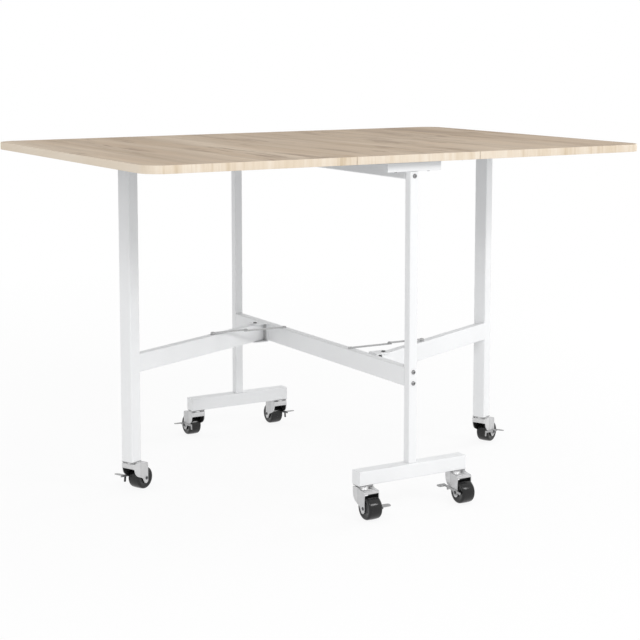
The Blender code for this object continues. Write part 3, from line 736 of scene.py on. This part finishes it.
def edge_band(low, high, round_left, round_right):
    """Edging that runs round a board, with a rounded arris above and below."""
    lower = arc((0, low.z + board_arris), board_arris, -90, 0, arris_steps)
    upper = arc((0, high.z - board_arris), board_arris, 0, 90, arris_steps)
    section = [(board_band, low.z)]
    section += [(board_arris - outward, height) for outward, height in lower + upper]
    section += [(board_band, high.z)]
    shape = bmesh.new()
    rings = []
    for inset, height in section:
        loop = board_loop(low, high, inset, round_left, round_right)
        rings.append([shape.verts.new((x, y, height)) for x, y in loop])
    for ring, above in zip(rings, rings[1:] + rings[:1]):
        for index in range(len(ring)):
            after = (index + 1) % len(ring)
            shape.faces.new((ring[index], ring[after], above[after], above[index]))
    return temporary(shape)


def board(label, body, round_left, round_right):
    """Laminate board and its edging, which takes the top's look at the seams."""
    low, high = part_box(label)
    loop = board_loop(low, high, board_band + band_gap, round_left, round_right)
    core = drawn([(x, y, low.z) for x, y in loop], (0, 0, high.z - low.z))
    band = edge_band(low, high, round_left, round_right)

    def below(middle):
        return middle.z < low.z + board_arris

    def at_seam(middle):
        left = not round_left and middle.x < low.x + board_band
        right = not round_right and middle.x > high.x - board_band
        return left or right

    piece(label + "_board", core, "oak_top", body, node=label, inside=below, inner=("backing",))
    piece(label + "_edge_band", band, "oak_band", body, inside=at_seam, inner=("oak_top",))
    discard(core, band)


def fork_side():
    """Side outline of the pressed fork, with soft turns between its edges."""
    outline = [(-fork_lead, fork_collar_top), (fork_collar_end, fork_collar_top), *fork_slope]
    tail_turn = (fork_tail - fork_tail_round, fork_rim_top - fork_tail_round)
    outline += arc(tail_turn, fork_tail_round, 74, 0, steps=5)
    boss = (fork_tail - fork_boss_radius, wheel_radius - fork_boss_drop)
    outline += arc(boss, fork_boss_radius, 0, -145, steps=18)
    outline += arc(fork_cove, fork_cove_radius, 30, 69, steps=5)
    outline += arc(fork_front_middle, fork_front_round, 249, 184, steps=16)
    outline += [(-fork_lead + fork_apron_turn, fork_apron_low), (-fork_lead, fork_apron_high)]
    return outline


def fork():
    """Pressed fork, without its axle: the wheel's room below its plate, and a dish above."""
    past_tail, past_top = 2 * fork_tail, 2 * fork_collar_top
    back = -fork_lead + fork_sheet

    def in_front(middle):
        return middle.x < 0

    def at_brow(middle):
        return middle.x > -fork_lead and middle.z < fork_collar_top

    made = drawn([(x, -fork_outer, z) for x, z in fork_side()], (0, 2 * fork_outer, 0))
    plan = block((-fork_lead, -fork_outer, 0), (past_tail, fork_outer, past_top))
    round_along(plan, 2, fork_plan_round, 10, in_front)
    boolean(made, plan, "INTERSECT")
    for low, high in ((-wheel_radius, fork_plate_bottom), (fork_plate_top, past_top)):
        room = block((back, -fork_inner, low), (past_tail, fork_inner, high))
        round_along(room, 2, fork_plan_round - fork_sheet, 8, in_front)
        boolean(made, room, "DIFFERENCE")
    brow_low = (-2 * fork_lead, -2 * fork_outer, fork_collar_top - fork_brow_drop)
    brow = block(brow_low, (fork_brow_end, 2 * fork_outer, past_top))
    round_along(brow, 1, fork_brow_round, 5, at_brow)
    boolean(made, brow, "DIFFERENCE")
    boolean(made, rod((0, 0, fork_bore_low), (0, 0, fork_bore_high), stem_radius + seat_gap), "DIFFERENCE")
    rim_low = (fork_tail - fork_sheet, -fork_inner - fork_rim_lap, fork_plate_bottom + fork_rim_lift)
    rim_high = (fork_tail - fork_rim_inset, fork_inner + fork_rim_lap, fork_rim_top - fork_rim_lap)
    boolean(made, block(rim_low, rim_high), "UNION")
    return bevelled(made)


def inside_fork(middle):
    """Look of a fork's face: 1 in the wheel's room, painted near-black as shade; 2 in the dish round the
    swivel head, painted pale as light; else 0.
    """
    margin = 0.0002
    side = abs(middle.y)
    turn_x = -fork_lead + fork_plan_round
    turn_y = fork_outer - fork_plan_round
    if middle.x < turn_x and side > turn_y:
        reach = math.hypot(middle.x - turn_x, side - turn_y)
        within = reach < fork_plan_round - fork_sheet + margin
    else:
        within = side < fork_inner + margin and middle.x > -fork_lead + fork_sheet - margin
    if not within or middle.x > fork_tail - fork_sheet + margin:
        return 0
    # Painted light: the dish's faces take the pale look
    if middle.z > fork_plate_top - margin:
        return 2
    # Painted shade: near-black faces in the wheel's room
    return int(middle.z < fork_plate_bottom + margin and middle.x < fork_tail - 2 * fork_sheet)


def axle(brake_side):
    """Axle rivet with a domed head on both cheeks, longer on the lever's side."""
    heads = {brake_side: fork_outer + axle_past_lever, -brake_side: fork_outer - fork_sheet / 2}
    low, high = -heads[-1], heads[1]
    top = max(high, fork_outer) + axle_head_height
    bottom = min(low, -fork_outer) - axle_head_height
    profile = [(radius, top - depth) for radius, depth in axle_head]
    profile += [(axle_head_radius, high), (axle_radius, high), (axle_radius, low), (axle_head_radius, low)]
    profile += [(radius, bottom + depth) for radius, depth in reversed(axle_head)]
    made = turned(profile, 32)
    made.data.transform(Matrix.Rotation(-math.pi / 2, 4, "X"))
    made.data.transform(Matrix.Translation((axle_trail, 0, wheel_radius)))
    return made


def wheel():
    """Crowned wheel with rounded shoulders, a shallow web and a hub, axle along Y."""
    web = wheel_half - wheel_web_depth
    shoulder = wheel_half - wheel_side_round

    def tread_radius(height):
        return wheel_radius - wheel_crown * (height / wheel_half) ** 2

    half = [
        (wheel_bore, wheel_half),
        (wheel_hub, wheel_half),
        (wheel_hub_foot, web),
        (wheel_web_end, web),
        (wheel_face_start, wheel_half),
    ]
    turn = (tread_radius(shoulder) - wheel_side_round, shoulder)
    half += arc(turn, wheel_side_round, 90, 5, steps=10)
    heights = [shoulder * (1 - 2 * step / tread_steps) for step in range(tread_steps + 1)]
    tread = [(tread_radius(height), height) for height in heights]
    made = turned(half + tread + mirrored(half), 72)
    made.data.transform(Matrix.Rotation(math.pi / 2, 4, "X"))
    return made


def lever(brake_side, tab_end):
    """Brake lever beside the fork, about the axle, with its tab at the fork's tail (+1) or front (-1)."""
    inner = fork_outer + lever_gap
    outer = inner + lever_sheet
    tab_start = lever_tail - lever_tab if tab_end > 0 else lever_front
    finger_start = lever_front if tab_end > 0 else lever_front + lever_tab

    def sided(start, length, low, high):
        """Box on the brake's side, between two (y, z) corners."""
        ys = sorted((brake_side * low[0], brake_side * high[0]))
        return block((start, ys[0], low[1]), (start + length, ys[1], high[1]))

    made = sided(lever_front, lever_tail - lever_front, (inner, 0.0), (outer, lever_height))
    finger_low = (inner, -lever_finger_drops[tab_end])
    finger = sided(finger_start, lever_finger, finger_low, (outer, lever_height / 2))
    round_along(finger, 1, lever_finger_round, 4, lambda middle: middle.z < 0)
    boolean(made, finger, "UNION")
    tab_low = (inner, lever_height - lever_sheet)
    tab = sided(tab_start, lever_tab, tab_low, (outer + lever_tab_reach, lever_height))
    round_along(tab, 2, lever_tab_round, 8, lambda middle: abs(middle.y) > outer)
    boolean(made, tab, "UNION")
    boolean(made, rod((0, brake_side * inner, 0), (0, brake_side * outer, 0), lever_eye), "UNION")
    boolean(made, rod((0, 0, 0), (0, brake_side * 2 * outer, 0), lever_bore), "DIFFERENCE")
    made.data.transform(Matrix.Rotation(lever_tilt, 4, "Y"))
    return bevelled(made)


def painted_shade_stop(brake_side):
    """Near-black stop that hangs from a lever with its tab at the front, about the axle: painted shade of
    the lever's finger.
    """
    inner = fork_outer + stop_gap
    ys = sorted((brake_side * inner, brake_side * (inner + stop_thickness)))
    made = block((stop_front, ys[0], stop_bottom), (stop_front + stop_length, ys[1], stop_top))
    round_along(made, 1, stop_round, 6, lambda middle: middle.z < stop_bottom / 2)
    made.data.transform(Matrix.Rotation(lever_tilt, 4, "Y"))
    return bevelled(made)


def mount():
    """Stem, swivel head and kingpin of a caster."""
    stem_top = tube_bottom + stem_length
    rivet_top = fork_plate_bottom - seat_gap
    head_bottom = fork_plate_top + seat_gap
    profile = [
        (0, stem_top),
        (stem_tip_radius, stem_top),
        (stem_radius, stem_top - stem_tip_height),
        (stem_radius, mount_plate_bottom),
        (swivel_head, mount_plate_bottom),
    ]
    turn = (swivel_head - swivel_head_round, head_bottom + swivel_head_round)
    profile += arc(turn, swivel_head_round, 0, -90, steps=6)
    profile += [
        (stem_radius, head_bottom),
        (stem_radius, rivet_top),
        (rivet_radius, rivet_top),
        (rivet_shoulder, rivet_top - rivet_height / 2),
        (rivet_tip_radius, rivet_top - rivet_height),
        (0, rivet_top - rivet_height),
    ]
    return turned(profile)


def mount_plate():
    """Pressed plate round the stem, with rounded corners."""
    across, along = mount_plate_half
    low = (-across, -along, mount_plate_bottom + mount_plate_gap)
    plate = block(low, (across, along, mount_plate_top))
    round_along(plate, 2, mount_plate_round, 8)
    boolean(plate, rod((0, 0, 0), (0, 0, 2 * mount_plate_top), mount_plate_bore), "DIFFERENCE")
    return bevelled(plate)


def casters():
    """Six casters as they stand in the photograph: carrier, place, heading, brake side and tab end."""
    made_fork = fork()
    made_wheel = wheel()
    made_mount = mount()
    made_plate = mount_plate()
    axles = {side: axle(side) for side in (-1, 1)}
    levers = {(side, end): lever(side, end) for side in (-1, 1) for end in (-1, 1)}
    stops = {side: painted_shade_stop(side) for side in (-1, 1)}
    near, far = -math.pi / 2, math.pi / 2
    x, y = foot_caster_x, foot_caster_y
    gate_x, gate_y = gate_caster
    gate_turn = gate_heading - math.pi / 2
    # Casters whose lever finger is darkened by a stop of painted shade
    with_shade_stop = ("gate_left", "far_right")
    stands = (
        ("near_left", "frame", (-x, -y), near, (1, 1), 0.0),
        ("near_right", "frame", (x, -y), near, (-1, -1), 0.0),
        ("far_left", "frame", (-x, y), far, (1, 1), 0.0),
        ("far_right", "frame", (x, y), far, (-1, -1), 0.0),
        ("gate_right", "gate_right", (gate_x, gate_y), gate_heading, (-1, 1), gate_turn),
        ("gate_left", "gate_left", (-gate_x, -gate_y), gate_heading, (1, -1), gate_turn),
    )
    for label, carrier, at, heading, (side, end), mount_turn in stands:
        spot = Matrix.Translation((*at, 0))
        mount_spot = spot @ Matrix.Rotation(mount_turn, 4, "Z")
        fork_spot = spot @ Matrix.Rotation(heading, 4, "Z")
        hub = fork_spot @ Matrix.Translation((axle_trail, 0, wheel_radius))
        fork_body, wheel_body, lever_body = f"fork_{label}", f"wheel_{label}", f"lever_{label}"
        piece(f"caster_mount_{label}", made_mount, "swivel", carrier, mount_spot, f"mount_{label}")
        piece(f"caster_plate_{label}", made_plate, "plate", carrier, mount_spot)
        piece(
            f"caster_fork_{label}",
            made_fork,
            "zinc",
            fork_body,
            fork_spot,
            fork_body,
            inside=inside_fork,
            # Inner looks: painted shade in the wheel's room, painted light in the dish
            inner=("shade", "bright"),
        )
        piece(f"caster_axle_{label}", axles[side], "dark", fork_body, fork_spot)
        piece(f"caster_wheel_{label}", made_wheel, "rubber", wheel_body, hub, wheel_body)
        piece(f"caster_lever_{label}", levers[side, end], "lever", lever_body, hub, lever_body)
        if label in with_shade_stop:
            piece(f"caster_shade_stop_{label}", stops[side], "stop", lever_body, hub)
    discard(made_fork, made_wheel, made_mount, made_plate)
    discard(*axles.values(), *levers.values(), *stops.values())


def bolt():
    """Button-head bolt along +Z with a hexagon socket, its seat at z = 0."""
    profile = [(0, bolt_head_height), *bolt_head]
    profile += [(bolt_radius, 0), (bolt_radius, -bolt_length), (0, -bolt_length)]
    made = turned(profile, 40)
    socket = rod((0, 0, socket_floor), (0, 0, 2 * bolt_head_height), socket_radius, sides=6)
    boolean(made, socket, "DIFFERENCE")
    return made


def bolts():
    """Bolts in both posts."""
    pattern = bolt()
    seat_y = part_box("post_near")[0].y - seat_gap
    for end, turn in (("near", 0.0), ("far", math.pi)):
        for number in (1, 2, 3):
            node = f"bolt_{end}_{number}"
            low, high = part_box(node)
            seat = Matrix.Translation((0, seat_y, (low.z + high.z) / 2))
            place = Matrix.Rotation(turn, 4, "Z") @ seat @ Matrix.Rotation(math.pi / 2, 4, "X")
            piece(f"button_bolt_{end}_{number}", pattern, "bolt", "frame", place, node)
    discard(pattern)


def bar_screws():
    """Pan-head screws that hold the top bars to the board, heads down, with a cross recess."""
    profile = [(0, -bar_screw_head_height), *bar_screw_head]
    profile += [(bar_screw_radius, 0.0), (bar_screw_radius, bar_screw_length), (0, bar_screw_length)]
    pattern = turned(profile, 32)
    for x, y in ((cross_length, cross_width), (cross_width, cross_length)):
        slot = block((-x, -y, -2 * bar_screw_head_height), (x, y, cross_floor))
        boolean(pattern, slot, "DIFFERENCE")
    for end in ("near", "far"):
        low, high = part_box(f"top_bar_{end}")
        middle = (low + high) / 2
        for label, side in (("left", -1), ("right", 1)):
            seat = (middle.x + side * bar_screw_place, middle.y, low.z - seat_gap / 3)
            piece(f"bar_screw_{end}_{label}", pattern, "bolt", "frame", Matrix.Translation(seat))
    discard(pattern)


def pivot_pins():
    """Headed pins of the gates."""
    upper = [(0, pin_cap)]
    upper += [(radius, pin_cap - depth) for radius, depth in pin_head]
    upper += [(pin_head_radius, pin_grip), (pin_radius, pin_grip)]
    pattern = turned(upper + mirrored(upper), 40)
    for label in ("left", "right"):
        node = f"pivot_pin_{label}"
        low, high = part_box(node)
        place = Matrix.Translation((low + high) / 2)
        piece(f"gate_pin_{label}", pattern, "dark", "frame", place, node)
    discard(pattern)


def hinge_gap_shade_strips():
    """Steel-grey strip in the gap between each gate's rail and its bracket, as painted shade of that gap.
    """
    for label, side in (("left", -1), ("right", 1)):
        low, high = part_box(f"bracket_{label}")
        root = low.x if side > 0 else high.x
        inner = root + side * strip_offset
        xs = sorted((inner, inner + side * strip_thickness))
        middle = (low.y + high.y) / 2
        ys = sorted((middle + side * strip_outward, middle - side * strip_inward))
        made = block((xs[0], ys[0], low.z + strip_margin), (xs[1], ys[1], high.z - strip_margin))
        bevelled(made, strip_bevel)
        piece(f"hinge_gap_shade_strip_{label}", made, "stay", "frame")
        discard(made)


board("middle_panel", "frame", False, False)
board("leaf_left", "leaf_left", True, False)
board("leaf_right", "leaf_right", False, True)
casters()
bolts()
bar_screws()
pivot_pins()
hinge_gap_shade_strips()

# Looks of the solids that stay visible, by their material in the frame
cad_looks = {
    "white_powder_coat": "white",
    "stay_steel": "stay",
    "zinc_steel": "zinc",
    "bright_steel": "bright",
    "dark_bolt_steel": "dark",
    "black_tread": "rubber",
    "oak_laminate": "oak_top",
}
for node in frame["nodes"].values():
    for held in node.material_slots:
        kind = held.material.name.split(".")[0]
        held.material = looks[cad_looks[kind]]


def seen_share(tree):
    """1 for rays from the camera, from gloss and through glass, which see plain white; 0 for light."""
    path = add(tree, "ShaderNodeLightPath")
    seen = math_node(tree, "MAXIMUM", path.outputs["Is Camera Ray"], path.outputs["Is Glossy Ray"])
    return math_node(tree, "MAXIMUM", seen, path.outputs["Is Transmission Ray"])


def floor():
    """Pale floor that shows white to the camera, with the object's soft shadow."""
    shape = bmesh.new()
    bmesh.ops.create_circle(shape, cap_ends=True, segments=floor_sides, radius=floor_radius)
    made = temporary(shape)
    made.name = "floor"
    surface, tree, matte = node_material("floor_white", 0.9)
    matte.inputs["Base Color"].default_value = (floor_tone, floor_tone, floor_tone, 1.0)
    matte.inputs["Specular IOR Level"].default_value = 0.0
    where = add(tree, "ShaderNodeTexCoord")
    away = add(tree, "ShaderNodeVectorMath", {0: where.outputs["Object"]}, operation="LENGTH")
    distance = away.outputs["Value"]
    share = spread(tree, distance, floor_near, floor_far, floor_near_white, floor_far_white)
    share = math_node(tree, "MULTIPLY", share, seen_share(tree))
    glow = add(tree, "ShaderNodeEmission", {"Color": (1, 1, 1, 1), "Strength": 1.0})
    both = add(tree, "ShaderNodeMixShader", {0: share, 1: matte.outputs[0], 2: glow.outputs[0]})
    tree.links.new(both.outputs[0], tree.nodes["Material Output"].inputs["Surface"])
    made.data.materials.append(surface)


def studio():
    """White surround, with softboxes in front and at the right."""
    world = bpy.data.worlds.new("studio")
    bpy.context.scene.world = world
    world.use_nodes = True
    tree = world.node_tree
    even = tree.nodes["Background"]
    even.inputs["Color"].default_value = (1, 1, 1, 1)
    even.inputs["Strength"].default_value = sky_strength
    white = add(tree, "ShaderNodeBackground", {"Color": (1, 1, 1, 1), "Strength": 1.0})
    shares = {0: seen_share(tree), 1: even.outputs[0], 2: white.outputs[0]}
    both = add(tree, "ShaderNodeMixShader", shares)
    tree.links.new(both.outputs[0], tree.nodes["World Output"].inputs["Surface"])

    for name, place, size, watts in softboxes:
        lamp = bpy.data.lights.new(name, "AREA")
        lamp.shape = "SQUARE"
        lamp.size = size
        lamp.energy = watts
        made = bpy.data.objects.new(name, lamp)
        made.location = place
        aim = Vector(softbox_aim) - made.location
        made.rotation_euler = aim.to_track_quat("-Z", "Y").to_euler()
        bpy.context.scene.collection.objects.link(made)


def camera():
    """Camera at the photograph's viewing angle."""
    lens = bpy.data.cameras.new("camera")
    lens.sensor_width = sensor_width
    lens.lens = camera_focal_pixels * sensor_width / image_pixels
    lens.shift_y = camera_shift
    eye = bpy.data.objects.new("camera", lens)
    eye.location = camera_place
    eye.rotation_euler = (math.pi / 2 - camera_pitch, 0, -camera_yaw)
    bpy.context.scene.collection.objects.link(eye)
    bpy.context.scene.camera = eye


floor()
studio()
camera()
bpy.context.scene.view_settings.view_transform = "Standard"
